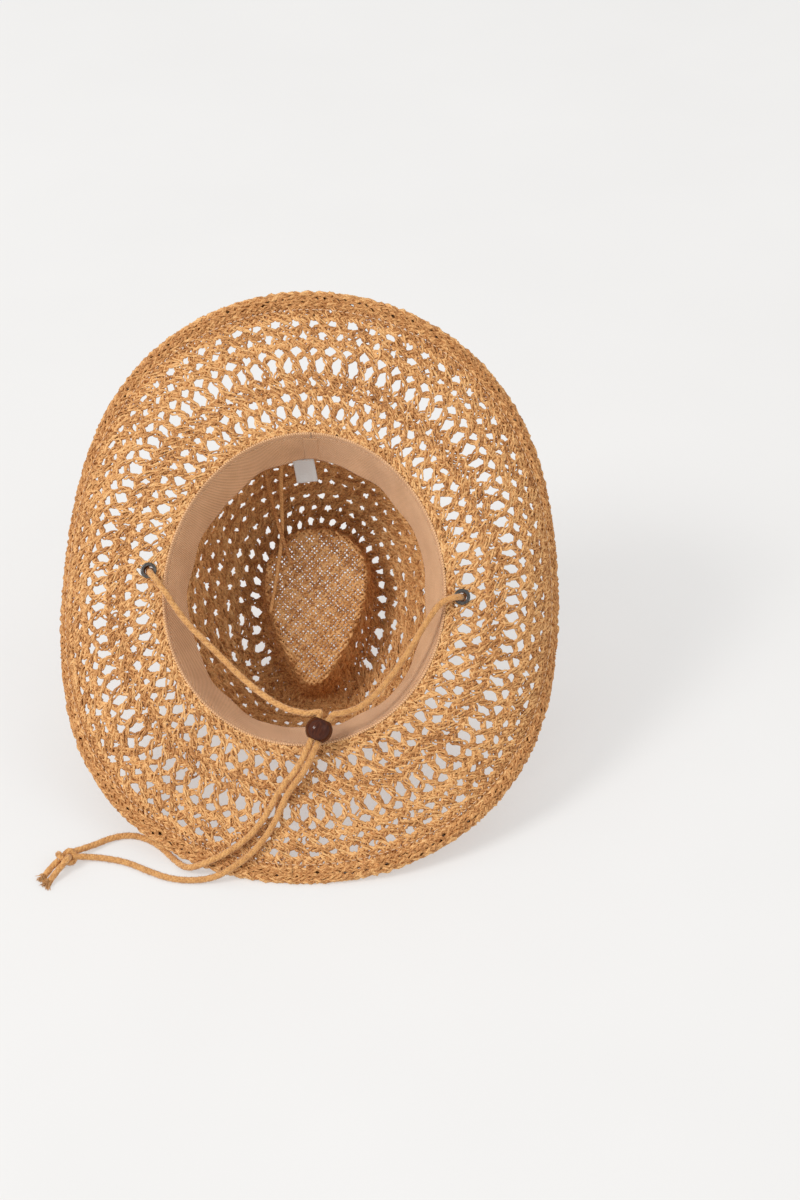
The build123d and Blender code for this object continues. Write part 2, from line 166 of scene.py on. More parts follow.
# eyelets, bead, cord and knots
eyelet_angles = {"left": np.radians(-94.3), "right": np.radians(88.2)}
eyelet_setback = 0.009
eyelet_clearance = 0.0047
eyelet_depth = 0.02
bead_centre = Vector((0.0128, -0.066557, 0.071613))
bead_axis = Vector((-0.350207, -0.647208, -0.677109))
bead_radius = 0.00825
bead_bore_radius = 0.0045
bead_bore_rounding = 0.0006
cord_diameter = 0.004
braid_carriers = 8
braid_lay = 0.011
braid_step = 0.0007
fuzz_length = 0.0011
fuzz_width = 0.00009
knot_centre = Vector((-0.13856, -0.115335, 0.00585))
knot_heading = Vector((-0.55238, -0.833592, 0.0))
knot_size = (0.0056, 0.0048, 0.0028)
stopper_size = (0.0022, 0.0023, 0.0017)
tail_length = 0.021
loose_straw_width = 0.0030
loose_straw_thickness = 0.0005

# camera
camera_place = Vector((0.1217, -1.1620, 0.9873))
camera_view = Vector((-0.043619, 0.800944, -0.597148))
camera_up = Vector((-0.026152, 0.596597, 0.802115))
camera_angle = np.radians(28.333)

# floor and light
floor_half_size = 20.0
floor_glow = 0.44
sky_strength = 0.78
light_target = Vector((0, 0.3, 0.1))

# ---------------------------------------------------------------- the hat's surfaces

hat_axes = np.array(
    (
        (1.0, 0.0, 0.0),
        (0.0, -np.cos(lean), -np.sin(lean)),
        (0.0, np.sin(lean), -np.cos(lean)),
    )
)
hat_origin = np.array((0.0, rest_depth, rest_height))


def place(points):
    """Points of the hat frame in the row frame."""
    return hat_origin + points @ hat_axes


def head_line(angle):
    x = opening_half_width * np.sin(angle) * (1 + opening_egg * np.cos(angle))
    y = opening_half_length * np.cos(angle)
    return np.stack((x, y, np.zeros_like(x)), axis=-1)


def outward(angle):
    """Unit vectors square to the head line, pointing away from the head."""
    x = opening_half_length * np.sin(angle)
    y = opening_half_width * (np.cos(angle) + opening_egg * np.cos(2 * angle))
    return unit(np.stack((x, y, np.zeros_like(x)), axis=-1))


def unit(vectors):
    return vectors / np.maximum(np.linalg.norm(vectors, axis=-1, keepdims=True), 1e-12)


def brim_width(angle):
    end_width = np.where(np.cos(angle) > 0, brim_width_front, brim_width_back)
    return end_width * np.cos(angle) ** 2 + brim_width_side * np.sin(angle) ** 2


def brim_surface(angle, share):
    """Points of the brim's middle surface, at shares of the way from the head line to the edge."""
    curl = np.abs(np.sin(angle)) ** brim_curl_spread
    edge_slope = brim_dip_slope + (brim_curl_slope - brim_dip_slope) * curl
    setback = share * brim_width(angle)
    reach = np.zeros_like(setback)
    rise = np.zeros_like(setback)
    steps = 16
    for step in range(steps):
        part = np.maximum(share, 0) * (step + 0.5) / steps
        slope = np.radians(edge_slope) * part**brim_bend_power
        reach += np.cos(slope) * setback / steps
        rise += np.sin(slope) * setback / steps
    points = head_line(angle) + outward(angle) * reach[..., None]
    points[..., 2] += rise
    return points


def smooth_rings(rings, per_step=12):
    """The crown's rings with smooth ones between them, and how far up the wall each one is."""
    dense = []
    for index in range(len(rings) - 1):
        before = rings[max(index - 1, 0)]
        first, second = rings[index], rings[index + 1]
        after = rings[min(index + 2, len(rings) - 1)]
        for share in np.arange(per_step) / per_step:
            bend = share * (1 - share) / 2
            tangent = bend * (1 - share) * (second - before) - bend * share * (after - first)
            blend = share * share * (3 - 2 * share)
            dense.append(first + blend * (second - first) + tangent)
    dense.append(rings[-1])
    dense = np.array(dense)
    middle = (dense[:, 1] + dense[:, 2]) / 4 + dense[:, 3] / 2
    steps = np.hypot(np.diff(dense[:, 0]), np.diff(middle))
    return dense, np.concatenate(([0.0], np.cumsum(steps)))


dense_rings, ring_climbs = smooth_rings(crown_rings)
wall_length = ring_climbs[-1]


def crown_surface(angle, climb):
    """Points of the crown, at distances up its wall and then in over the floor of its crease."""
    rings = [np.interp(climb, ring_climbs, dense_rings[:, column]) for column in range(7)]
    height, front, back, half_width, egg, blunt, pinch = rings
    floor_share = np.clip((climb - wall_length) / crown_rings[-1, 3], 0, 0.97)
    nose = (1 + blunt) * np.cos(angle) - blunt * np.cos(3 * angle)
    y = np.where(np.cos(angle) > 0, front * nose, back * np.cos(angle)) * (1 - floor_share)
    x = half_width * np.sin(angle) * (1 + egg * np.cos(angle)) * (1 - floor_share)
    from_front = np.abs((angle + np.pi) % (2 * np.pi) - np.pi)
    dent = pinch * np.exp(-(((from_front - pinch_angle) / pinch_spread) ** 2))
    x, y = x * (1 - dent), y * (1 - dent)
    top = crown_rings[:, 0].max()
    return np.stack((x, y, height + crown_rake * height / top * y), axis=-1)


def on_surface(surface, angle, along, lift, middle_lift=0.0):
    """Points of a surface lifted towards the head side, with the surface's normals, in the row frame."""
    small_angle, small_along = 0.002, 0.0004 if surface is crown_surface else 0.004
    here = surface(angle, along)
    round_it = surface(angle + small_angle, along) - surface(angle - small_angle, along)
    along_it = surface(angle, along + small_along) - surface(angle, along - small_along)
    normal = unit(np.cross(along_it, round_it))
    if surface is brim_surface:
        normal = -normal
    return place(here + normal * (lift + middle_lift)[..., None]), normal @ hat_axes


# ---------------------------------------------------------------- strands


def new_piece(name, vertices, faces, material, attributes, body="hat"):
    """Mesh piece that rides on a body."""
    mesh = bpy.data.meshes.new(name)
    mesh.vertices.add(len(vertices))
    mesh.vertices.foreach_set("co", np.asarray(vertices, np.float32).ravel())
    faces = np.asarray(faces, np.int32)
    mesh.loops.add(faces.size)
    mesh.loops.foreach_set("vertex_index", faces.ravel())
    mesh.polygons.add(len(faces))
    mesh.polygons.foreach_set("loop_start", np.arange(len(faces), dtype=np.int32) * faces.shape[1])
    for key, values in attributes.items():
        kind, field = ("FLOAT_VECTOR", "vector") if values.ndim == 2 else ("FLOAT", "value")
        layer = mesh.attributes.new(key, kind, "POINT")
        layer.data.foreach_set(field, values.astype(np.float32).ravel())
    mesh.update(calc_edges=True)
    mesh.polygons.foreach_set("use_smooth", np.full(len(faces), True))
    mesh.materials.append(material)
    piece = bpy.data.objects.new(name, mesh)
    bpy.context.scene.collection.objects.link(piece)
    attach(piece, body)
    return piece


def strand_piece(name, mesh, material, node):
    """Piece of swept strands in the place of a CAD node."""
    piece = new_piece(name, *mesh[:2], material, mesh[2])
    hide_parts(node)
    return piece


def ring_faces(count, rows):
    """Quads that join each section of a ring to the next one."""
    index = np.arange(count * rows).reshape(count, rows)
    after = np.roll(index, -1, axis=0)
    quads = np.stack((index, np.roll(index, -1, axis=1), np.roll(after, -1, axis=1), after), axis=-1)
    return quads.reshape(-1, 4)


def sweep(paths, normals, width, thickness, sides=6, closed=False, turns_per_metre=0.0, taper=True):
    """Flat tubes along many paths at once: vertices, faces and the attributes that the materials use.

    A tube turns about its own line, so that a flat strand looks twisted, and thins out at its ends."""
    count, samples = paths.shape[:2]
    if closed:
        tangent = unit(np.roll(paths, -1, axis=1) - np.roll(paths, 1, axis=1))
        steps = np.linalg.norm(np.diff(paths, axis=1, prepend=paths[:, -1:]), axis=-1)
        steps[:, 0] = 0
    else:
        tangent = unit(np.gradient(paths, axis=1))
        steps = np.linalg.norm(np.diff(paths, axis=1, prepend=paths[:, :1]), axis=-1)
    along = np.cumsum(steps, axis=1)
    side = unit(np.cross(normals, tangent))
    up = np.cross(tangent, side)
    size = np.ones(samples)
    if taper and not closed:
        end_size, next_size = 0.15, 0.75
        size[[0, -1]] = end_size
        size[[1, -2]] = next_size
    tint = random.uniform(0, 1, count)
    roll = 2 * np.pi * turns_per_metre * (along + tint[:, None])
    corner = 2 * np.pi * np.arange(sides) / sides
    width = np.broadcast_to(np.asarray(width), (count, samples)) * size
    thickness = np.broadcast_to(np.asarray(thickness), (count, samples)) * size
    flat_x = np.cos(corner) * width[..., None] / 2
    flat_y = np.sin(corner) * thickness[..., None] / 2
    cos_roll, sin_roll = np.cos(roll)[..., None], np.sin(roll)[..., None]
    across = flat_x * cos_roll - flat_y * sin_roll
    above = flat_x * sin_roll + flat_y * cos_roll
    shift = across[..., None] * side[:, :, None] + above[..., None] * up[:, :, None]
    vertices = above_floor(paths[:, :, None] + shift, sweep_clearance)
    index = np.arange(count * samples * sides).reshape(count, samples, sides)
    next_ring = np.roll(index, -1, axis=1) if closed else index[:, 1:]
    this_ring = index if closed else index[:, :-1]
    quads = np.stack(
        (this_ring, np.roll(this_ring, -1, axis=2), np.roll(next_ring, -1, axis=2), next_ring), axis=-1
    )
    strand = np.stack(
        np.broadcast_arrays(along[..., None], np.cos(corner)[None, None], np.sin(corner)[None, None]), axis=-1
    )
    tints = np.broadcast_to(tint[:, None, None], (count, samples, sides))
    return (
        vertices.reshape(-1, 3),
        quads.reshape(-1, 4),
        {"strand": strand.reshape(-1, 3), "tint": tints.reshape(-1).copy()},
    )


def join(parts):
    """Several swept parts as one."""
    vertices, faces, offset = [], [], 0
    keys = parts[0][2].keys()
    for part in parts:
        vertices.append(part[0])
        faces.append(part[1] + offset)
        offset += len(part[0])
    attributes = {key: np.concatenate([part[2][key] for part in parts]) for key in keys}
    return np.concatenate(vertices), np.concatenate(faces), attributes


eyelet_points = {}
eyelet_normals = {}
for side, angle in eyelet_angles.items():
    share = np.array([eyelet_setback / brim_width(np.array(angle))])
    spot, spot_normal = on_surface(brim_surface, np.array([angle]), share, np.zeros(1))
    eyelet_points[side] = spot[0]
    eyelet_normals[side] = spot_normal[0]


def clear_of_eyelets(points):
    """Moves points out of the eyelets' barrels, so that the straw bunches up round them."""
    for side, centre in eyelet_points.items():
        axis = eyelet_normals[side]
        away = points - centre
        along = (away @ axis)[..., None] * axis
        across = away - along
        distance = np.linalg.norm(across, axis=-1, keepdims=True)
        near = (distance < eyelet_clearance) & (np.linalg.norm(along, axis=-1, keepdims=True) < eyelet_depth)
        moved = centre + along + unit(across) * eyelet_clearance
        points = np.where(near, moved, points)
    return points


def above_floor(points, clearance=straw_clearance):
    """Keeps points off the floor, where the straw lies pressed flat on it."""
    return np.concatenate((points[..., :2], np.maximum(points[..., 2:], clearance)), axis=-1)


def wander(angle, along, strength, seed=0.0):
    """Slow irregular shift over a surface, the same for all the strands that pass a place."""
    waves = ((11, 90), (17, 240), (29, 410), (41, 160))
    wave_offset = 1.7
    total = np.zeros_like(angle + along)
    for number, (round_it, out) in enumerate(waves):
        total = total + np.sin(round_it * angle + out * along + wave_offset * number + seed)
    return strength * total / 2


def surface_along(surface, distance):
    """A surface's own measure of how far out a distance is: a share on the brim, metres on the crown."""
    return distance if surface is crown_surface else distance / brim_width_back


def mean_radius(surface, distance):
    if surface is crown_surface:
        return np.interp(distance, ring_climbs, (dense_rings[:, 1] + dense_rings[:, 3]) / 2)
    return (opening_half_length + opening_half_width) / 2 + distance


# where the middle of the weave lies, above each surface
weave_middle = {crown_surface: 0.0012, brim_surface: 0.0}
# each strand's walk: half a column to one side, 1, or to the other, -1, after each row of holes
rib_walks = ((1, -1), (-1, 1), (1, 1, -1, -1), (-1, -1, 1, 1), (1, -1, -1, 1), (-1, 1, 1, -1))


def ribs(surface, columns, holes, start, end):
    """Twisted bundles of strands that run outwards between the holes, and part and cross between rows.

    holes lists each row's place, half its height and the ribs' width."""
    samples = int((end - start) / rib_step) + 1
    distance = np.linspace(start, end, samples)
    radius = mean_radius(surface, distance)
    knots = np.array([start - rib_overrun] + [hole[0] for hole in holes] + [end + rib_overrun])
    widths = np.array([holes[0][2]] + [hole[2] for hole in holes] + [holes[-1][2]])
    halves = np.array([0.0] + [hole[1] for hole in holes] + [0.0]) * straight_share
    bends = np.column_stack((knots - halves, knots + halves)).ravel()
    half_width = (np.interp(distance, knots, widths) - strand_width) / 2
    column = np.arange(columns)[:, None]
    parts = []
    for number, walk in enumerate(rib_walks):
        ways = np.array([walk[index % len(walk)] for index in range(len(knots))])
        centres = 0.5 * np.concatenate(([0.0], np.cumsum(ways[:-1])))
        line = np.interp(distance, bends, np.repeat(centres, 2))
        line = np.convolve(np.pad(line, 2, mode="edge"), np.ones(5) / 5, mode="valid")
        phase = 2 * np.pi * (distance / rib_lay + number / len(rib_walks))
        phase = phase + rib_phase_noise * smooth_noise(columns, samples)
        angle = 2 * np.pi * (column + line) / columns
        out = np.broadcast_to(distance, angle.shape)
        shift = half_width * np.cos(phase) + rib_shift_noise * smooth_noise(columns, samples)
        angle = angle + (shift + wander(angle, out, rib_wander)) / radius
        lift = rib_depth * np.sin(phase) + rib_lift_noise * smooth_noise(columns, samples)
        points, normals = on_surface(surface, angle, surface_along(surface, out), lift, weave_middle[surface])
        sizes = strand_width * (1 + rib_width_noise * smooth_noise(columns, samples))
        points = above_floor(clear_of_eyelets(points))
        parts.append(sweep(points, normals, sizes, strand_thickness, turns_per_metre=rib_turns_per_metre))
    return join(parts)


def smooth_noise(count, samples):
    """Independent smooth noise along each strand, about -1 to 1."""
    reach, limit, usual = 7, 2, 1.6
    rough = random.normal(0, 1, (count, samples + 2 * reach))
    window = np.hanning(2 * reach + 1)
    window /= np.sqrt((window**2).sum())
    smooth = np.stack([np.convolve(row, window, mode="valid") for row in rough])
    return smooth[:, :samples].clip(-limit, limit) / usual


def lens_shift(angle, distance, holes, columns):
    """How far a row bends towards the rows of holes beside it, where their ribs are."""
    shift = np.zeros_like(angle)
    for index, (spot, half, _) in enumerate(holes):
        gap = abs(distance - spot) - half
        strength = -np.sign(distance - spot) * lens_bend * np.exp(-((gap / lens_reach) ** 2))
        shift += strength * np.cos(columns * angle - np.pi * (index + 1))
    return shift


def twined_row(surface, distance, turns, hand, holes, columns, reach=np.pi):
    """Two strands twisted round each other, all round the hat or over a reach each side of the front."""
    all_round = reach == np.pi
    samples = int(turns * samples_per_twist * reach / np.pi)
    angle = np.linspace(-reach, reach, samples, endpoint=not all_round)
    everywhere = np.full(samples, distance)
    bend = wander(angle, everywhere, row_wander, seed=1.0) + lens_shift(angle, distance, holes, columns)
    unevenness = wander(angle * 2, everywhere, row_lift_wander, seed=2.0)
    parts = []
    for ply in (0.0, np.pi):
        phase = turns * angle * hand + ply + wander(angle * 3, everywhere, row_phase_wander, seed=ply)
        out = distance + ply_radius * np.cos(phase) + bend
        height = ply_radius * ply_flatness * np.sin(phase) + row_lift + unevenness
        along = surface_along(surface, out)
        points, normals = on_surface(surface, angle, along, height, weave_middle[surface])
        sizes = ply_width * (1 + row_width_noise * smooth_noise(1, samples))
        points = above_floor(clear_of_eyelets(points))
        parts.append(ply_sweep(points, normals, sizes, all_round))
    return join(parts)


def ply_sweep(points, normals, sizes, closed=True):
    """One strand of a twined row."""
    return sweep(
        points[None], normals[None], sizes, ply_thickness, closed=closed, turns_per_metre=ply_turns_per_metre
    )


def rows_between(holes, start, end):
    """Places of the twined rows that fill the space between rows of holes."""
    edges = [start] + [spot + way * half for spot, half, _ in holes for way in (-1, 1)] + [end]
    places = []
    for low, high in zip(edges[::2], edges[1::2]):
        count = max(1, round((high - low) / row_pitch))
        places += [low + (high - low) * (number + 0.5) / count for number in range(count)]
    return places


def twined_rows(surface, holes, columns, start, end):
    """Twined rows between the rows of holes, with their twists by turns to the left and to the right."""
    rows = []
    for number, distance in enumerate(rows_between(holes, start, end)):
        turns = round(2 * np.pi * mean_radius(surface, distance) / twist_length)
        rows.append(twined_row(surface, distance, turns, 1 if number % 2 else -1, holes, columns))
    return join(rows)


# ---------------------------------------------------------------- materials


def new_material(name, roughness, specular=0.5):
    material = bpy.data.materials.new(name)
    material.use_nodes = True
    shader = material.node_tree.nodes["Principled BSDF"]
    shader.inputs["Roughness"].default_value = roughness
    shader.inputs["Specular IOR Level"].default_value = specular
    return material, shader


def add_node(material, kind, settings=None, inputs=None):
    """Shader node with its settings, and with its inputs set or linked."""
    tree = material.node_tree
    node = tree.nodes.new(kind)
    for key, value in (settings or {}).items():
        setattr(node, key, value)
    for key, value in (inputs or {}).items():
        if isinstance(value, bpy.types.NodeSocket):
            tree.links.new(value, node.inputs[key])
        else:
            node.inputs[key].default_value = value
    return node


def math_node(material, operation, first, second=0.0):
    node = add_node(material, "ShaderNodeMath", {"operation": operation}, {0: first, 1: second})
    return node.outputs["Value"]


def weighted_sum(material, *terms):
    """Sum of values times their weights."""
    parts = [math_node(material, "MULTIPLY", value, weight) for value, weight in terms]
    total = parts[0]
    for part in parts[1:]:
        total = math_node(material, "ADD", total, part)
    return total


def colour_ramp(material, value, stops):
    """Colours between stops, each a place and a colour in linear light."""
    node = add_node(material, "ShaderNodeValToRGB", inputs={"Fac": value})
    elements = node.color_ramp.elements
    while len(elements) < len(stops):
        elements.new(0.5)
    for element, (spot, colour) in zip(elements, stops):
        element.position = spot
        element.color = (*colour, 1.0)
    return node.outputs["Color"]


def noise(material, vector, scale, detail=3.0, roughness=0.6):
    node = add_node(
        material,
        "ShaderNodeTexNoise",
        inputs={"Vector": vector, "Scale": scale, "Detail": detail, "Roughness": roughness},
    )
    return node.outputs["Fac"]


def scaled(material, vector, factors):
    node = add_node(material, "ShaderNodeVectorMath", {"operation": "MULTIPLY"}, {0: vector, 1: factors})
    return node.outputs["Vector"]


def attribute(material, name, output="Vector"):
    return add_node(material, "ShaderNodeAttribute", {"attribute_name": name}).outputs[output]


def object_place(material):
    return add_node(material, "ShaderNodeNewGeometry").outputs["Position"]


def finish_shader(material, shader, colour, height, distance, strength):
    """Colour and bump onto the shader."""
    relief = {"Height": height, "Distance": distance, "Strength": strength}
    bump = add_node(material, "ShaderNodeBump", inputs=relief)
    material.node_tree.links.new(colour, shader.inputs["Base Color"])
    material.node_tree.links.new(bump.outputs["Normal"], shader.inputs["Normal"])
    return material


def twisted_strand_material(name, stops, lay, roughness, fibres=420.0, sheen=0.0):
    """Fibres twisted into a strand: helical grooves, streaks along it and a tint of its own."""
    material, shader = new_material(name, roughness, specular=0.35)
    shader.inputs["Sheen Weight"].default_value = sheen
    strand = attribute(material, "strand")
    parts = add_node(material, "ShaderNodeSeparateXYZ", inputs={"Vector": strand})
    around = math_node(material, "ARCTAN2", parts.outputs["Z"], parts.outputs["Y"])
    turned = math_node(material, "MULTIPLY_ADD", parts.outputs["X"], 2 * np.pi / lay)
    material.node_tree.links.new(around, turned.node.inputs[2])
    groove = math_node(material, "SINE", math_node(material, "MULTIPLY", turned, 2.0))
    streaks = noise(material, scaled(material, strand, (fibres, 2.6, 2.6)), 1.0)
    spots = noise(material, object_place(material), 260.0)
    tint = attribute(material, "tint", "Fac")
    mixed = weighted_sum(material, (streaks, 0.42), (tint, 0.28), (spots, 0.40), (groove, 0.05))
    height = weighted_sum(material, (streaks, 1.0), (groove, 0.45))
    colour = colour_ramp(material, mixed, stops)
    return finish_shader(material, shader, colour, height, distance=0.00018, strength=0.7)


straw = twisted_strand_material(
    "woven_straw",
    (
        (0.24, (0.17, 0.048, 0.012)),
        (0.42, (0.50, 0.215, 0.066)),
        (0.60, (0.79, 0.425, 0.160)),
        (0.88, (0.97, 0.63, 0.30)),
    ),
    lay=0.0042,
    roughness=0.55,
)
cord_fibre = twisted_strand_material(
    "cord_cloth",
    (
        (0.20, (0.33, 0.130, 0.034)),
        (0.50, (0.62, 0.300, 0.092)),
        (0.85, (0.82, 0.455, 0.165)),
    ),
    lay=0.0028,
    roughness=0.8,
    fibres=900.0,
    sheen=0.35,
)
thread = twisted_strand_material(
    "sewing_thread",
    (
        (0.25, (0.66, 0.40, 0.22)),
        (0.80, (0.88, 0.60, 0.38)),
    ),
    lay=0.0012,
    roughness=0.6,
    fibres=1500.0,
)


def waves(material, value, per_metre):
    return math_node(material, "SINE", math_node(material, "MULTIPLY", value, 2 * np.pi * per_metre))


def woven_cloth(name, stops, threads_per_metre, slant, roughness, sheen):
    """Fine diagonal weave, laid out by the cloth's own lengthwise and crosswise attribute."""
    material, shader = new_material(name, roughness, specular=0.25)
    shader.inputs["Sheen Weight"].default_value = sheen
    shader.inputs["Sheen Roughness"].default_value = 0.5
    cloth = attribute(material, "cloth")
    parts = add_node(material, "ShaderNodeSeparateXYZ", inputs={"Vector": cloth})
    lengthwise, crosswise = parts.outputs["X"], parts.outputs["Y"]
    diagonal = weighted_sum(material, (lengthwise, 1.0), (crosswise, slant))
    twill = waves(material, diagonal, threads_per_metre)
    yarn = waves(material, crosswise, 1.3 * threads_per_metre)
    soft = noise(material, object_place(material), 60.0)
    fine = noise(material, scaled(material, cloth, (900.0, 2600.0, 1.0)), 1.0)
    mixed = weighted_sum(material, (soft, 0.45), (fine, 0.35), (twill, 0.26))
    height = weighted_sum(material, (twill, 1.0), (yarn, 0.35), (fine, 0.8))
    colour = colour_ramp(material, mixed, stops)
    return finish_shader(material, shader, colour, height, distance=0.00012, strength=0.9)


band_cloth = woven_cloth(
    "band_cloth",
    (
        (0.10, (0.44, 0.225, 0.100)),
        (0.45, (0.72, 0.405, 0.205)),
        (0.80, (0.90, 0.555, 0.31)),
    ),
    threads_per_metre=650.0,
    slant=0.8,
    roughness=0.72,
    sheen=0.25,
)
label_cloth = woven_cloth(
    "label_cloth",
    (
        (0.15, (0.66, 0.64, 0.62)),
        (0.55, (0.82, 0.80, 0.78)),
    ),
    threads_per_metre=1800.0,
    slant=0.0,
    roughness=0.6,
    sheen=0.3,
)


def metal_material(name, colour, roughness):
    material, shader = new_material(name, roughness)
    shader.inputs["Metallic"].default_value = 1.0
    spot = noise(material, object_place(material), 900.0, detail=4.0)
    scratches = noise(material, scaled(material, object_place(material), (4000.0, 300.0, 300.0)), 1.0)
    dark = tuple(0.45 * part for part in colour)
    worn = colour_ramp(material, spot, ((0.3, dark), (0.65, colour)))
    return finish_shader(material, shader, worn, scratches, distance=0.00005, strength=0.5)


eyelet_metal = metal_material("eyelet_metal", (0.15, 0.14, 0.13), 0.2)
wire_metal = metal_material("wire", (0.45, 0.43, 0.40), 0.4)


def wood_material():
    """Dark glossy wood with grain that runs along the bead."""
    material, shader = new_material("bead_wood", 0.11, specular=0.2)
    grain_place = scaled(material, attribute(material, "grain"), (90.0, 900.0, 900.0))
    grain = noise(material, grain_place, 1.0, detail=5.0)
    pores = noise(material, scaled(material, grain_place, (2.0, 4.0, 4.0)), 1.0)
    stops = ((0.25, (0.030, 0.007, 0.003)), (0.5, (0.062, 0.015, 0.006)), (0.75, (0.11, 0.028, 0.010)))
    colour = colour_ramp(material, grain, stops)
    return finish_shader(material, shader, colour, pores, distance=0.00004, strength=0.4)


bead_wood = wood_material()

# ---------------------------------------------------------------- camera, floor and light


def add_camera():
    camera = bpy.data.objects.new("camera", bpy.data.cameras.new("camera"))
    camera.data.sensor_fit = "VERTICAL"
    camera.data.angle = camera_angle
    backward = -camera_view.normalized()
    right = camera_up.cross(backward).normalized()
    up = backward.cross(right)
    turn = Matrix((right, up, backward)).transposed().to_4x4()
    camera.matrix_world = Matrix.Translation(camera_place) @ turn
    bpy.context.scene.collection.objects.link(camera)
    bpy.context.scene.camera = camera


def add_light(name, spot, size, power):
    light = bpy.data.objects.new(name, bpy.data.lights.new(name, "AREA"))
    light.data.shape = "SQUARE"
    light.data.size = size
    light.data.energy = power
    turn = (light_target - Vector(spot)).to_track_quat("-Z", "Y").to_matrix().to_4x4()
    light.matrix_world = Matrix.Translation(Vector(spot)) @ turn
    bpy.context.scene.collection.objects.link(light)


def add_floor():
    material, shader = new_material("floor_paint", 0.9, specular=0.1)
    tone = noise(material, object_place(material), 3.0)
    stops = ((0.3, (0.395, 0.391, 0.384)), (0.7, (0.415, 0.411, 0.404)))
    shader.inputs["Emission Color"].default_value = (1.0, 0.99, 0.98, 1.0)
    shader.inputs["Emission Strength"].default_value = floor_glow
    finish_shader(material, shader, colour_ramp(material, tone, stops), tone, distance=0.0001, strength=0.1)
    mesh = bpy.data.meshes.new("floor")
    corners = [(x * floor_half_size, y * floor_half_size, 0) for x, y in ((-1, -1), (1, -1), (1, 1), (-1, 1))]
    mesh.from_pydata(corners, [], [(0, 1, 2, 3)])
    mesh.materials.append(material)
    floor = bpy.data.objects.new("floor", mesh)
    bpy.context.scene.collection.objects.link(floor)


def add_world():
    world = bpy.data.worlds.new("studio")
    world.use_nodes = True
    background = world.node_tree.nodes["Background"]
    background.inputs["Color"].default_value = (1.0, 1.0, 1.0, 1.0)
    background.inputs["Strength"].default_value = sky_strength
    bpy.context.scene.world = world


add_camera()
add_floor()
add_world()
add_light("key_light", spot=(-2.9, -1.7, 3.3), size=1.5, power=105.0)
add_light("fill_light", spot=(2.6, -1.0, 2.4), size=2.4, power=12.0)
bpy.context.scene.view_settings.view_transform = "Standard"

# ---------------------------------------------------------------- chin cords, knots and tails

# the routes are those of the cords' solids
cord_routes = {
    "left": (
        (-0.0952, 0.0115, 0.1285),
        (-0.0960, 0.0018, 0.1379),
        (-0.0859, -0.0064, 0.1303),
        (-0.0724, -0.0180, 0.1145),
        (-0.0532, -0.0286, 0.1005),
        (-0.0323, -0.0420, 0.0862),
        (-0.0122, -0.0540, 0.0785),
        (0.0035, -0.0590, 0.0775),
        (0.0105, -0.0590, 0.0788),
        (0.0147, -0.0587, 0.0798),
        (0.0021, -0.0820, 0.0554),
        (-0.0094, -0.0881, 0.0438),
        (-0.0183, -0.1001, 0.0293),
        (-0.0283, -0.1090, 0.0206),
        (-0.0394, -0.1157, 0.0154),
        (-0.0511, -0.1203, 0.0112),
        (-0.0641, -0.1202, 0.0043),
        (-0.0736, -0.1098, 0.0021),
        (-0.0849, -0.0964, 0.0021),
        (-0.0996, -0.0885, 0.0021),
        (-0.1134, -0.0909, 0.0021),
        (-0.1256, -0.1013, 0.0031),
        (-0.1383, -0.1110, 0.0058),
    ),
    "right": (
        (0.0959, 0.0038, 0.1205),
        (0.0967, -0.0059, 0.1298),
        (0.0846, -0.0084, 0.1282),
        (0.0759, -0.0149, 0.1177),
        (0.0663, -0.0249, 0.1037),
        (0.0541, -0.0386, 0.0900),
        (0.0392, -0.0530, 0.0798),
        (0.0262, -0.0585, 0.0782),
        (0.0188, -0.0598, 0.0787),
        (0.0062, -0.0831, 0.0543),
        (-0.0055, -0.0902, 0.0415),
        (-0.0130, -0.1035, 0.0260),
        (-0.0241, -0.1153, 0.0154),
        (-0.0362, -0.1235, 0.0098),
        (-0.0476, -0.1263, 0.0037),
        (-0.0606, -0.1275, 0.0021),
        (-0.0745, -0.1263, 0.0021),
        (-0.0883, -0.1202, 0.0021),
        (-0.1022, -0.1129, 0.0021),
        (-0.1178, -0.1098, 0.0021),
        (-0.1273, -0.1105, 0.0031),
        (-0.1347, -0.1134, 0.0058),
    ),
}


def spline_points(route):
    """Points of the smooth NURBS curve that a route's points control."""
    steps_per_point = 14
    curve = bpy.data.curves.new("route", "CURVE")
    curve.dimensions = "3D"
    spline = curve.splines.new("NURBS")
    spline.points.add(len(route) - 1)
    for point, spot in zip(spline.points, route):
        point.co = (*spot, 1.0)
    spline.order_u = 3
    spline.use_endpoint_u = True
    spline.resolution_u = steps_per_point
    holder = bpy.data.objects.new("route", curve)
    mesh = bpy.data.meshes.new_from_object(holder)
    points = np.array([vertex.co for vertex in mesh.vertices])
    bpy.data.objects.remove(holder)
    bpy.data.meshes.remove(mesh)
    return points


def carried_frames(points):
    """Tangents, and normals carried along a line without turning about it."""
    tangents = unit(np.gradient(points, axis=0))
    normal = np.array((0.0, 0.0, 1.0))
    normals = []
    for tangent in tangents:
        normal = unit(normal - tangent * (normal @ tangent))
        normals.append(normal)
    return tangents, np.array(normals)


def even_steps(points, step):
    """The same line with samples a step apart."""
    lengths = np.concatenate(([0.0], np.cumsum(np.linalg.norm(np.diff(points, axis=0), axis=1))))
    spots = np.linspace(0, lengths[-1], max(int(lengths[-1] / step), 8))
    return np.stack([np.interp(spots, lengths, points[:, axis]) for axis in range(3)], axis=-1), spots


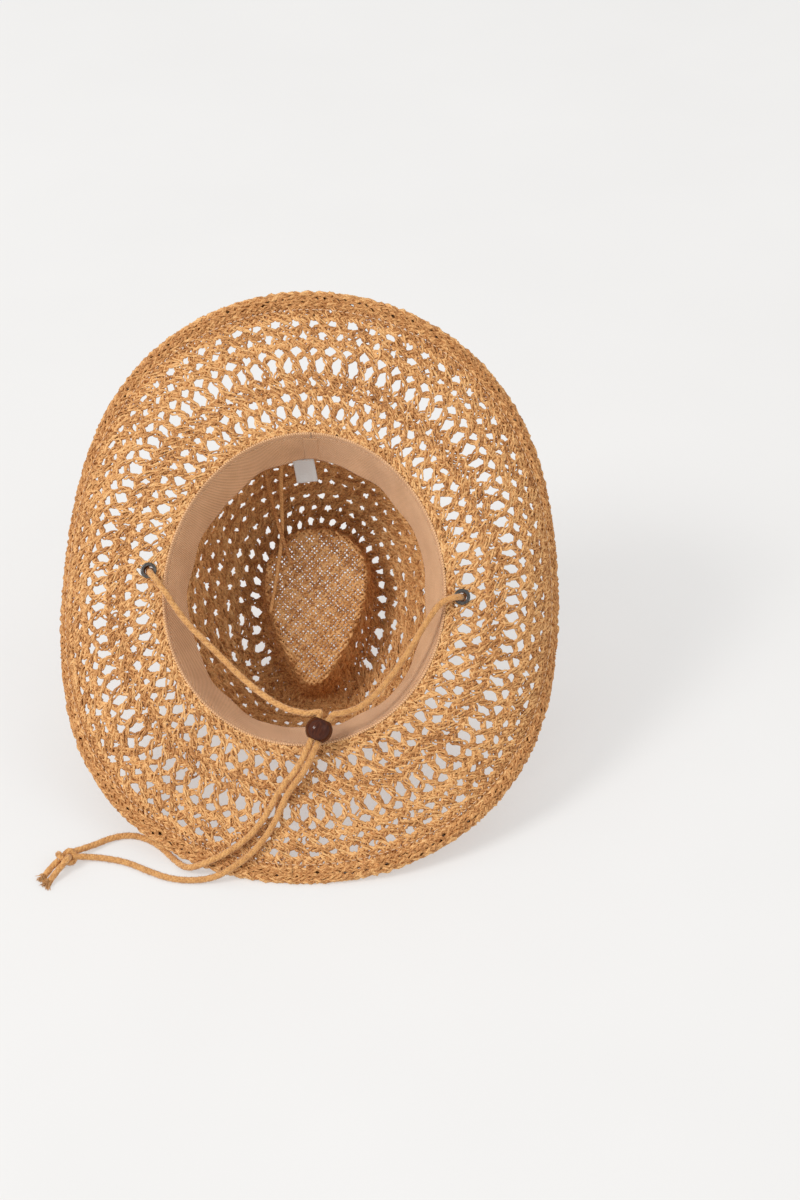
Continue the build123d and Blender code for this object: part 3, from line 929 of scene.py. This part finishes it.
def braid(points, diameter):
    """Tubular braid along a line: a core and two sets of strands that cross over and under."""
    line, spots = even_steps(points, braid_step)
    tangents, normals = carried_frames(line)
    sideways = np.cross(tangents, normals)
    core_size = diameter * 0.86
    carrier_width, carrier_thickness = diameter * 0.4, diameter * 0.2
    parts = [sweep(line[None], normals[None], core_size, core_size, sides=10, taper=False)]
    half = braid_carriers // 2
    lay_angle = 2 * np.pi * spots / braid_lay
    for hand, first_turn, first_weave in ((1, 0.0, 0.0), (-1, np.pi / half, np.pi)):
        for carrier in range(half):
            turned = hand * lay_angle + 2 * np.pi * carrier / half + first_turn
            weave = np.cos(half * lay_angle + np.pi * carrier + first_weave)
            radius = diameter * (0.39 + 0.025 * weave)
            radial = normals * np.cos(turned)[:, None] + sideways * np.sin(turned)[:, None]
            path = line + radial * radius[:, None]
            parts.append(sweep(path[None], radial[None], carrier_width, carrier_thickness, taper=False))
    return join(parts)


def fuzz(points, diameter, count):
    """Short loose fibres that stand off a cord and bend along it."""
    line, _ = even_steps(points, 0.0005)
    tangents, normals = carried_frames(line)
    sideways = np.cross(tangents, normals)
    spots = random.integers(2, len(line) - 2, count)
    turned = random.uniform(0, 2 * np.pi, count)
    radial = normals[spots] * np.cos(turned)[:, None] + sideways[spots] * np.sin(turned)[:, None]
    drift = tangents[spots] * random.uniform(-1, 1, count)[:, None]
    steps = np.array((0.0, 0.4, 0.75, 1.0))[None, :, None] * fuzz_length
    roots = line[spots] + radial * diameter * 0.42
    heading = unit(radial * 0.8 + drift)
    curl = tangents[spots][:, None] * steps**2 * 300
    paths = above_floor(roots[:, None] + heading[:, None] * steps + curl, 2 * sweep_clearance)
    facing = np.repeat(sideways[spots][:, None], 4, axis=1)
    return sweep(paths, facing, fuzz_width, fuzz_width, sides=3)


def knot_line(centre, heading, size):
    """Line of an overhand knot that fills a box of this size: along its heading, to its side and up."""
    long_size, wide_size, high_size = size
    t = np.linspace(0, 2 * np.pi, 90)
    along = (np.sin(t) + 2 * np.sin(2 * t)) / 3
    across = (np.cos(t) - 2 * np.cos(2 * t)) / 3
    above = -np.sin(3 * t)
    heading = np.array(heading) / np.linalg.norm(heading)
    side = unit(np.cross((0.0, 0.0, 1.0), heading))
    up = np.cross(heading, side)
    spots = np.outer(along, heading) * long_size + np.outer(across, side) * wide_size
    return np.array(centre) + spots + np.outer(above, up) * high_size


def frayed_tail(start, end, side_shift):
    """A cord's end that is braided at first and then opens into loose fibres."""
    bend_distance, braided_share, fibres = 0.006, 0.68, 70
    fibre_width, fibre_thickness, fibre_sag = 0.00042, 0.00036, 0.0012
    start, end = np.array(start), np.array(end)
    heading = unit(end - start)
    side = unit(np.cross((0.0, 0.0, 1.0), heading))
    bend = start + heading * bend_distance + side * side_shift
    solid_end = start + heading * braided_share * np.linalg.norm(end - start) + side * side_shift * 1.8
    solid_end[2] = cord_diameter / 2 + sweep_clearance
    braided = spline_points([start, bend, (bend + solid_end) / 2, solid_end])
    turned = random.uniform(0, 2 * np.pi, fibres)
    out = np.sqrt(random.uniform(0, 1, fibres)) * cord_diameter * 0.42
    spread = random.uniform(0.4, 2.4, fibres)
    reach = random.uniform(0.7, 1.0, fibres) * np.linalg.norm(end - solid_end)
    shares = np.linspace(-0.25, 1, 9)
    circle = np.outer(np.cos(turned) * out, side) + np.outer(np.sin(turned) * out, (0.0, 0.0, 1.0))
    opening = 1 + spread[:, None] * np.clip(shares, 0, 1)[None] ** 1.3
    waves = 0.0004 * np.sin(9 * shares[None] + turned[:, None])
    paths = solid_end + circle[:, None] * opening[..., None]
    paths = paths + heading * (shares[None] * reach[:, None])[..., None] + side * waves[..., None]
    paths[..., 2] -= fibre_sag * np.clip(shares, 0, 1)[None] ** 2
    paths = above_floor(paths, 0.00025)
    normals = np.broadcast_to((0.0, 0.0, 1.0), paths.shape)
    return [braid(braided, cord_diameter), sweep(paths, normals, fibre_width, fibre_thickness, sides=4)]


def cord_piece(name, mesh, node):
    return strand_piece(name, mesh, cord_fibre, node)


def add_knot_and_tails():
    """The knot that joins the cords, and their frayed ends past it."""
    knot = knot_line(knot_centre, knot_heading, knot_size)
    knot_mesh = join([braid(knot, cord_diameter), fuzz(knot, cord_diameter, 500)])
    end_knot = cord_piece("chin_cord_end_knot", knot_mesh, "end_knot")
    across = Vector((0.0, 0.0, 1.0)).cross(knot_heading)
    tail_start, tail_offset = 0.004, 0.0075
    parts = []
    for side_sign, shortening in ((1, 0.0050), (-1, 0.0075)):
        start = knot_centre + knot_heading * tail_start + across * side_sign * 0.0022
        reach = tail_offset + tail_length - shortening
        end = knot_centre + knot_heading * reach + across * side_sign * 0.0023
        end.z = cord_diameter / 2 + sweep_clearance
        parts += frayed_tail(start, end, side_sign * 0.0003)
    return [end_knot, cord_piece("chin_cord_tails", join(parts), "cord_tails")]


def add_cords():
    """Both chin cords with the knots and tails that go with them."""
    end_pieces = add_knot_and_tails()
    for side, route in cord_routes.items():
        points = spline_points(route)
        mesh = join([braid(points, cord_diameter), fuzz(points, cord_diameter, 4200)])
        cord = cord_piece("chin_cord_" + side + "_braid", mesh, "chin_cord_" + side)
        box_low, box_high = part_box("stopper_knot_" + side)
        stopper = knot_line((box_low + box_high) / 2, Vector(route[1]) - Vector(route[0]), stopper_size)
        stopper_mesh = braid(stopper, cord_diameter * 0.8)
        stopper_piece = cord_piece("stopper_" + side, stopper_mesh, "stopper_knot_" + side)


add_cords()

# ---------------------------------------------------------------- straw brim

# rows of holes on the brim: how far out, half the height of the holes and the width of the ribs
inner_holes = ((0.0057, 0.0010, 0.0078), (0.0126, 0.0041, 0.0052), (0.0218, 0.0018, 0.0060))
outer_holes = (
    (0.0310, 0.0016, 0.0084),
    (0.0418, 0.0047, 0.0050),
    (0.0508, 0.0019, 0.0060),
    (0.0600, 0.0016, 0.0084),
    (0.0680, 0.0014, 0.0078),
)
brim_straw_start = -0.001
zone_change = 0.0270
brim_straw_end = 0.0785
inner_columns = 67
outer_columns = 84


def straw_piece(name, mesh, node):
    return strand_piece(name, mesh, straw, node)


def straw_zone(name, node, surface, columns, holes, start, end):
    """Ribs with rows of holes between them, and twined rows between the rows of holes."""
    overlap = 0.001
    straw_piece(name + "_ribs", ribs(surface, columns, holes, start - overlap, end + overlap), node)
    straw_piece(name + "_rows", twined_rows(surface, holes, columns, start, end), node)


brim = ("brim_weave", brim_surface)
straw_zone("brim_straw_inner", *brim, inner_columns, inner_holes, brim_straw_start, zone_change)
straw_zone("brim_straw_outer", *brim, outer_columns, outer_holes, zone_change, brim_straw_end)

# ---------------------------------------------------------------- plaited hem


def hem_row(turned, hand):
    """Twined row on the outside of the hem's oval section, at an angle round it."""
    samples = hem_twists * samples_per_twist
    angle = 2 * np.pi * np.arange(samples) / samples
    size_x, size_y = hem_width / 2 - hem_inset_across, hem_thickness / 2 - hem_inset_above
    centre = brim_width(angle) - hem_width / 2
    middle, _ = on_surface(brim_surface, angle, centre / brim_width(angle), np.zeros(samples))
    parts = []
    for ply in (0.0, np.pi):
        uneven = wander(angle * 3, np.full(samples, turned), hem_phase_wander, seed=ply)
        phase = hem_twists * angle * hand + ply + uneven
        round_it = turned + hem_ply_radius * np.cos(phase) / hem_section_radius
        grow = hem_ply_radius * ply_flatness * np.sin(phase)
        across = (size_x + grow) * np.cos(round_it)
        above = (size_y + grow) * np.sin(round_it)
        points, _ = on_surface(brim_surface, angle, (centre + across) / brim_width(angle), above)
        sizes = hem_ply_width * (1 + hem_width_noise * smooth_noise(1, samples))
        parts.append(ply_sweep(above_floor(points), unit(points - middle), sizes))
    return join(parts)


def add_hem():
    parts = [hem_row(2 * np.pi * number / hem_rows, 1 if number % 2 else -1) for number in range(hem_rows)]
    half = hem_rows // 2 + 1
    straw_piece("brim_hem_plait_outer", join(parts[:half]), "brim_hem")
    straw_piece("brim_hem_plait_inner", join(parts[half:]), "brim_hem")


add_hem()

# ---------------------------------------------------------------- straw crown

# rows of holes up the crown: how far up, half the height of the holes and the width of the ribs
lower_holes = (
    (0.0140, 0.0019, 0.0068),
    (0.0270, 0.0019, 0.0068),
    (0.0410, 0.0019, 0.0068),
    (0.0550, 0.0021, 0.0064),
    (0.0680, 0.0021, 0.0062),
    (0.0810, 0.0017, 0.0064),
    (0.0930, 0.0017, 0.0060),
)
upper_holes = (
    (0.1060, 0.0015, 0.0062),
    (0.1170, 0.0015, 0.0060),
    (0.1270, 0.0016, 0.0056),
    (0.1395, 0.0024, 0.0046),
    (0.1500, 0.0007, 0.0066),
)
lower_columns = 54
upper_columns = 40
crown_zone_change = 0.0990
crease_front_rows = (0.1254, 0.1269, 0.1284, 0.1372, 0.1387, 0.1402, 0.1417)
crease_front_reach = np.radians(62)


def add_crease_front():
    """Closer rows round the front of the crease, where the rows of holes end."""
    rows = []
    for number, distance in enumerate(crease_front_rows):
        turns = round(2 * np.pi * mean_radius(crown_surface, distance) / twist_length)
        hand = 1 if number % 2 else -1
        rows.append(twined_row(crown_surface, distance, turns, hand, (), upper_columns, crease_front_reach))
    straw_piece("crease_front_rows", join(rows), "crown_weave")


def crease_floor_outline():
    """Polar outline of the crease floor, just past where its wall starts: angles and radii."""
    angle = np.linspace(-np.pi, np.pi, 361)
    points = crown_surface(angle, np.full_like(angle, wall_length - 0.0005))
    polar = np.arctan2(points[:, 0], points[:, 1])
    order = np.argsort(polar)
    return polar[order], np.hypot(points[:, 0], points[:, 1])[order]


def tip_lines(heading, across):
    """Straight lines over the crease floor, a pitch apart, each with its number."""
    polar, radii = crease_floor_outline()
    overrun, least_points, samples = 0.0005, 20, 48
    for number in range(-26, 27):
        probe = np.linspace(-0.06, 0.06, 600)[:, None] * heading + number * tip_pitch * across
        reach = np.interp(np.arctan2(probe[:, 0], probe[:, 1]), polar, radii)
        inside = np.flatnonzero(np.hypot(probe[:, 0], probe[:, 1]) < reach + overrun)
        if len(inside) < least_points:
            continue
        first, last = probe[inside[0]], probe[inside[-1]]
        yield number, np.linspace(0, 1, samples)[:, None] * (last - first) + first


def add_tip():
    """Fine plain weave over the floor of the crease, slanted to the hat's length."""
    height = crown_rings[-1, 0]
    rake = crown_rake * height / crown_rings[:, 0].max()
    parts = []
    for way, slant in enumerate(tip_slants):
        heading = np.array((np.sin(slant), np.cos(slant)))
        across = np.array((heading[1], -heading[0]))
        paths = []
        for number, line in tip_lines(heading, across):
            along = line @ heading
            weave = np.cos(np.pi * (along / tip_pitch + number + way)) * tip_weave_height
            sway = wander(along * 90, line @ across, tip_sway, seed=way)[:, None] * across
            level = height + rake * line[:, 1] - weave_thickness / 2 + weave
            paths.append(np.column_stack((line + sway, level)))
        paths = place(np.array(paths))
        normals = np.broadcast_to(np.array((0.0, 0.0, -1.0)) @ hat_axes, paths.shape)
        sizes = tip_strand_width * (1 + tip_width_noise * smooth_noise(*paths.shape[:2]))
        parts.append(sweep(paths, normals, sizes, tip_strand_thickness, turns_per_metre=ply_turns_per_metre))
    straw_piece("crown_straw_tip", join(parts), "crown_weave")


crown = ("crown_weave", crown_surface)
straw_zone("crown_straw_lower", *crown, lower_columns, lower_holes, 0.0, crown_zone_change)
straw_zone("crown_straw_upper", *crown, upper_columns, upper_holes, crown_zone_change, wall_length)
add_crease_front()
add_tip()

# ---------------------------------------------------------------- sweatband, stitches, seam and label


def band_point(angle, height, inset):
    """Points of the sweatband: height above its fold, inset from its outer face, a little uneven."""
    lean_in = band_lean * height / band_height
    waves = ((0.0008, 5, 0.7), (0.0006, 11, 2.0), (0.0004, 17, 0.0))
    sag = sum(size * np.sin(count * angle + start) for size, count, start in waves)
    held = 0.006
    free = np.clip((height - held) / (band_height - held), 0, 1) ** 1.5
    inward = band_gap + lean_in + inset + sag * free
    points = head_line(angle) - outward(angle) * inward[..., None]
    points[..., 2] += height - band_fold
    return points


def band_profile():
    """Section of the band with rounded edges: heights above the fold, and insets from the outer face."""
    rounding, edge_gap = 0.0006, 0.0001
    low, high = rounding, band_height - rounding
    inner, outer = band_thickness * 0.75, band_thickness * 0.25
    profile = [(height, band_thickness) for height in np.linspace(low, high, 22)]
    profile += [(band_height - edge_gap, inner), (band_height - edge_gap, outer)]
    profile += [(height, 0.0) for height in np.linspace(high, low, 12)]
    profile += [(edge_gap, outer), (edge_gap, inner)]
    return np.array(profile).T


def bulge_at(heights, middle, spread, size):
    return size * np.exp(-(((heights - middle) / spread) ** 2))


def add_sweatband():
    """Cloth band with a rounded fold, a turned free edge and slight waves, that starts at the back."""
    round_count = 420
    heights, insets = band_profile()
    inner_face = insets > 0.0005
    hemmed = bulge_at(heights, stitch_line, 0.0009, 0.00022) * inner_face
    edge_roll = bulge_at(heights, band_height - 0.001, 0.0012, 0.0003) * inner_face
    angle = np.pi + 2 * np.pi * np.arange(round_count) / round_count
    grid_angle, grid_height = np.meshgrid(angle, heights, indexing="ij")
    grid_inset = np.broadcast_to(insets - hemmed + edge_roll, grid_angle.shape)
    points = place(band_point(grid_angle, grid_height, grid_inset)).reshape(-1, 3)
    lengthwise = grid_angle * (opening_half_length + opening_half_width) / 2
    cloth = np.stack((lengthwise, grid_height, np.zeros_like(lengthwise)), axis=-1).reshape(-1, 3)
    faces = ring_faces(round_count, len(heights))
    band = new_piece("sweatband_cloth", points, faces, band_cloth, {"cloth": cloth})
    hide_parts("sweatband")


def dashes(centre_of, count, length_share, width, thickness):
    """Separate stitches along a ring: each is a short rounded thread that dips at both ends."""
    samples, depth = 7, 0.0004
    within = np.linspace(-0.5, 0.5, samples)[None] * length_share
    angle = 2 * np.pi * (np.arange(count)[:, None] + within) / count
    dip = (np.linspace(-1, 1, samples) ** 4)[None] * depth
    points, normals = centre_of(angle)
    return sweep(points - normals * dip[..., None], normals, width, thickness)


def band_stitches(angle):
    """Middle line of the band's stitches, with the band's normals."""
    height = np.full_like(angle, stitch_line)
    inset = np.full_like(angle, band_thickness + 0.0001)
    inner = band_point(angle, height, inset)
    outer = band_point(angle, height, inset - 0.001)
    return place(inner), unit(inner - outer) @ hat_axes


def hem_stitches(face_sign):
    """Middle line of the stitches beside the hem, on one face of the brim."""
    hem_gap, lift = 0.0019, 0.0017

    def centre_of(angle):
        share = (brim_width(angle) - hem_width - hem_gap) / brim_width(angle)
        points, normals = on_surface(brim_surface, angle, share, np.full_like(angle, face_sign * lift))
        return points, normals * face_sign

    return centre_of


def label_stitch_mesh():
    """Row of short stitches across the label's CAD ones."""
    low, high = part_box("label_stitching")
    middle = (low + high) / 2
    half_stitch, count = 0.0008, 5
    spots = np.linspace(low.x + half_stitch, high.x - half_stitch, count)
    within = np.linspace(-half_stitch, half_stitch, count)
    paths = np.array([[(x + dx, middle.y, middle.z) for dx in within] for x in spots])
    return sweep(paths, np.broadcast_to((0.0, 0.0, 1.0), paths.shape), 0.0005, 0.0004)


def add_stitches():
    band_row = dashes(band_stitches, count=190, length_share=0.72, width=0.0006, thickness=0.0004)
    strand_piece("sweatband_stitches", band_row, thread, "sweatband_stitching")
    hem_lines = [
        dashes(hem_stitches(face_sign), count=260, length_share=0.7, width=0.0006, thickness=0.0005)
        for face_sign in (1, -1)
    ]
    strand_piece("hem_stitches", join(hem_lines), thread, "hem_stitching")
    strand_piece("label_stitches", label_stitch_mesh(), thread, "label_stitching")


def cloth_panel(name, origin, across, down, width, height, thickness, bulge, material, body):
    """Small panel of cloth with rounded edges and a slight curve, hung from the middle of its top."""
    columns, rows = 22, 26
    u, v = np.meshgrid(np.linspace(-0.5, 0.5, columns), np.linspace(0, 1, rows), indexing="ij")
    across, down = np.array(across), np.array(down)
    normal = np.cross(across, down)
    origin = np.array(origin)
    curve = bulge * (np.sin(np.pi * v) * (1 - 2 * u**2) + 0.35 * np.sin(7 * u) * v)
    edge = np.minimum(np.minimum(0.5 - np.abs(u), v), 1 - v)
    half = thickness / 2 * np.clip(edge / 0.03, 0.15, 1) ** 0.5
    middle = origin + (u * width)[..., None] * across + (v * height)[..., None] * down
    front = middle + (curve + half)[..., None] * normal
    back = middle + (curve - half)[..., None] * normal
    size = columns * rows
    grid = np.arange(size).reshape(columns, rows)
    quads = np.stack((grid[:-1, :-1], grid[1:, :-1], grid[1:, 1:], grid[:-1, 1:]), axis=-1).reshape(-1, 4)
    rim = np.concatenate((grid[:, 0], grid[-1, 1:], grid[-2::-1, -1], grid[0, -2:0:-1]))
    after = np.roll(rim, -1)
    walls = np.stack((rim, rim + size, after + size, after), axis=-1)
    faces = np.concatenate((quads, quads[:, ::-1] + size, walls))
    cloth = np.stack((u * width, v * height, np.zeros_like(u)), axis=-1).reshape(-1, 3)
    vertices = np.concatenate((front.reshape(-1, 3), back.reshape(-1, 3)))
    return new_piece(name, vertices, faces, material, {"cloth": np.concatenate((cloth, cloth))}, body)


def add_label():
    """Blank care label that hangs from the band's free edge."""
    across = (np.cos(label_tilt), 0, np.sin(label_tilt))
    down = (np.sin(label_tilt), 0, -np.cos(label_tilt))
    top = np.array(label_top) - np.array(down) * label_tuck
    height = label_height + label_tuck
    size = (label_width, height, label_thickness, label_bulge)
    label = cloth_panel("blank_label", top, across, down, *size, label_cloth, "label")
    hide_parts("care_label")


def add_seam():
    """Tape over the band's back seam, from near its fold to near its free edge."""
    ends = np.array((0.0042, band_height - 0.0012))
    inset = np.full_like(ends, band_thickness + seam_tape_thickness)
    bottom, top = place(band_point(np.full_like(ends, np.pi), ends, inset))
    height = np.linalg.norm(bottom - top)
    size = (seam_tape_width, height, seam_tape_thickness, 0.0)
    tape = cloth_panel("seam_tape", top, (1, 0, 0), (bottom - top) / height, *size, band_cloth, "hat")
    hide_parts("sweatband_seam_tape")


add_sweatband()
add_stitches()
add_label()
add_seam()

# ---------------------------------------------------------------- bead, eyelets, wire and loose straws


def bead_outline():
    """Half section of the bead: places along its axis, and distances from it."""
    rounding, gap = bead_bore_rounding, 0.0001
    half_length = np.sqrt(bead_radius**2 - (bead_bore_radius + rounding) ** 2)
    start = np.arccos(half_length / bead_radius)
    arc = np.linspace(start, np.pi - start, 30)
    outline = [(bead_radius * np.cos(turned), bead_radius * np.sin(turned)) for turned in arc]
    shares = np.linspace(0, 1, 5)
    for end, turns in ((-1, shares[1:]), (1, 1 - shares[:-1])):
        for turned in np.pi / 2 * turns:
            along = half_length + gap - rounding * (1 - np.cos(turned))
            outline.append((end * along, bead_bore_radius + rounding * (1 - np.sin(turned))))
    return np.array(outline).T


def add_bead():
    """Turned bead with softly rounded bore edges."""
    axis = np.array(bead_axis.normalized())
    side = unit(np.cross(axis, (1.0, 0.0, 0.0)))
    other = np.cross(axis, side)
    along, out = bead_outline()
    count = 64
    angle = 2 * np.pi * np.arange(count)[:, None] / count
    grain = np.broadcast_arrays(along, out * np.cos(angle), out * np.sin(angle))
    grain = np.stack(grain, axis=-1).reshape(-1, 3)
    vertices = np.array(bead_centre) + grain @ np.array((axis, side, other))
    faces = ring_faces(count, len(along))
    bead = new_piece("wooden_bead", vertices, faces, bead_wood, {"grain": grain}, body="bead")
    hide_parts("chin_bead")


def inside(side_share, front_share, height):
    """A point over the head opening, as shares of its half width and half length."""
    return place(np.array((side_share * opening_half_width, front_share * opening_half_length, height)))


# each straw starts on the back wall of the crown and reaches over the crease floor
straw_routes = (
    ((-0.38, -0.862, 0.036), (-0.335, -0.70, 0.060), (-0.285, -0.50, 0.081), (-0.18, -0.27, 0.0835)),
    ((-0.235, -0.92, 0.033), (-0.265, -0.71, 0.066), (-0.25, -0.43, 0.0855), (-0.33, 0.06, 0.087)),
)


def add_loose_straws():
    """Flat straw ends that hang loose inside the crown."""
    sideways = np.array((1.0, 0.0, 0.0))
    narrowing = 0.25
    parts = []
    for route in straw_routes:
        line, spots = even_steps(spline_points([inside(*spot) for spot in route]), 0.001)
        tangents, _ = carried_frames(line)
        share = spots / spots[-1]
        tilt = 0.3 * np.sin(share * 5)
        normals = unit(unit(np.cross(sideways, tangents)) + sideways * tilt[:, None])
        widths = loose_straw_width * (1 - narrowing * share)
        parts.append(sweep(line[None], normals[None], widths[None], loose_straw_thickness, sides=8))
    straw_piece("loose_straw_ends", join(parts), "loose_straws")


def paint_hardware():
    """Materials for the CAD nodes whose shape is right."""
    hardware = {
        eyelet_metal: ("eyelet_left", "eyelet_right", "eyelet_washer_left", "eyelet_washer_right"),
        wire_metal: ("brim_wire", "wire_ferrule"),
    }
    for material, names in hardware.items():
        for name in names:
            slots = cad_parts[name].data.materials
            slots.clear()
            slots.append(material)


add_bead()
add_loose_straws()
paint_hardware()
